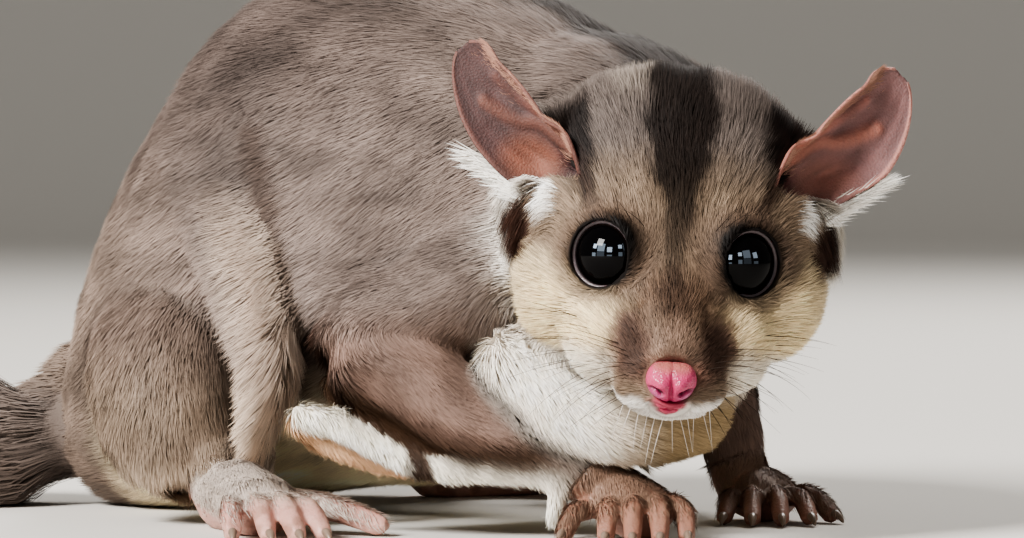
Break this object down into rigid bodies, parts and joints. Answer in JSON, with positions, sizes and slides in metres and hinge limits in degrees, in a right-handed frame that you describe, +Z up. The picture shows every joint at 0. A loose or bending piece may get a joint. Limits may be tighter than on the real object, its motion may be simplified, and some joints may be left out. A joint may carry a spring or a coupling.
{
  "type": "sugar glider",
  "caption": "Life-size still model of a crouching sugar glider with big dark eyes, cupped ears, folded gliding membrane and a long bushy tail laid round on the floor.",
  "frame": {"origin": "middle of the underside: the centre of the bounding box in plan, at floor level", "axes": "+X to the viewer's right in the picture's view, where the head is, +Y away from the viewer, +Z up. The animal's spine runs from the rump at -X, +Y to the head at +X, -Y"},
  "size_m": [0.2024, 0.1596, 0.0714],
  "materials": {
    "coat": "soft short fur, taupe above with dark head and back stripes, cream below",
    "paw_skin": "pinkish bare skin with thin pale fur",
    "ear_skin": "thin naked mauve-pink skin",
    "eye": "wet, near black",
    "nose_skin": "moist pink skin"
  },
  "bodies": {
    "root": {"head": "coat", "neck": "coat", "torso": "coat", "fore_leg_right": "coat", "fore_leg_left": "coat", "hind_leg_right": "coat", "hind_leg_left": "coat", "patagium_right": "coat", "patagium_left": "coat", "tail_base": "coat", "tail_middle": "coat", "tail_tip": "coat", "hand_right": "paw_skin", "hand_left": "paw_skin", "hind_foot_right": "paw_skin", "hind_foot_left": "paw_skin", "ear_right": "ear_skin", "ear_left": "ear_skin", "eye_right": "eye", "eye_left": "eye", "nose": "nose_skin"}
  },
  "joints": []
}
